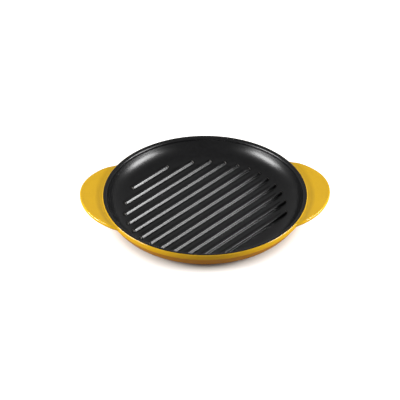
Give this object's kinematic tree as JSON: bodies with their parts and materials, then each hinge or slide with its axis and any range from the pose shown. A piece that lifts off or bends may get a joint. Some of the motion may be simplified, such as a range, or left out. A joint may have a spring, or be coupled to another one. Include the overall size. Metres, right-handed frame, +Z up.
{
  "type": "grill pan",
  "caption": "Shallow round grill pan of enamelled cast iron, with diagonal ribs across the dish, flat ear handles and a foot ring.",
  "frame": {"origin": "centre of the foot ring, on the surface that the pan stands on", "axes": "+Z up out of the dish, X along the line of the ear handles, ribs from -X-Y to +X+Y"},
  "size_m": [0.31, 0.254, 0.0326],
  "materials": {
    "cast_iron": "ground bare iron",
    "black_enamel": "satin fired enamel",
    "yellow_enamel": "gloss fired enamel"
  },
  "bodies": {
    "root": {"cast_iron_body": "cast_iron", "black_enamel_inside": "black_enamel", "yellow_enamel_outside": "yellow_enamel", "yellow_enamel_base": "yellow_enamel"}
  },
  "joints": []
}
